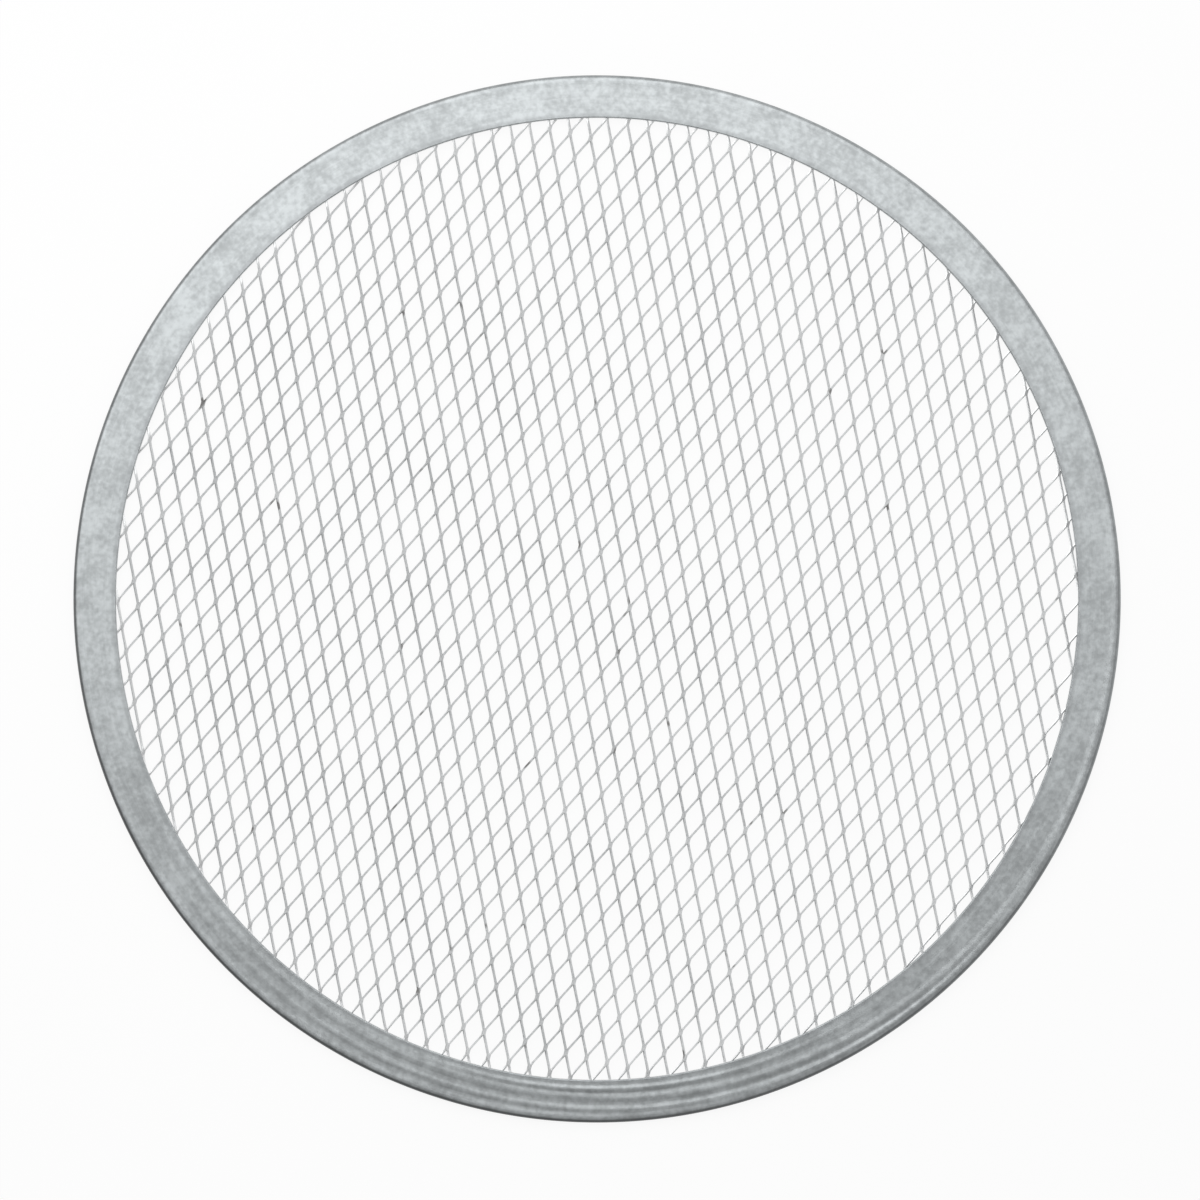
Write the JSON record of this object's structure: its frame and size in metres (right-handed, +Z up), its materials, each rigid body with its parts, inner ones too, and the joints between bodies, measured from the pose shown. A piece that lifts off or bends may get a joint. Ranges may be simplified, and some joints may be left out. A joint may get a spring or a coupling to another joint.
{
  "type": "pizza screen",
  "caption": "Round pizza screen: a flat disc of raised expanded aluminium mesh gripped in a folded, beaded aluminium rim, for baking and cooling on an open base.",
  "frame": {"origin": "centre of the screen, on the surface that the lower bead crest rests on", "axes": "+Z up through the screen, along the axis of the round rim; +Y is the top of the view from above, and the long way of the mesh diamonds leans 14.6 degrees clockwise from it"},
  "size_m": [0.305, 0.305, 0.0033],
  "materials": {
    "rim_aluminium": "dull rolled strip with faint drawing streaks",
    "mesh_aluminium": "mill finish, slit and stretched"
  },
  "bodies": {
    "root": {"rim": "rim_aluminium", "expanded_mesh": "mesh_aluminium"}
  },
  "joints": []
}
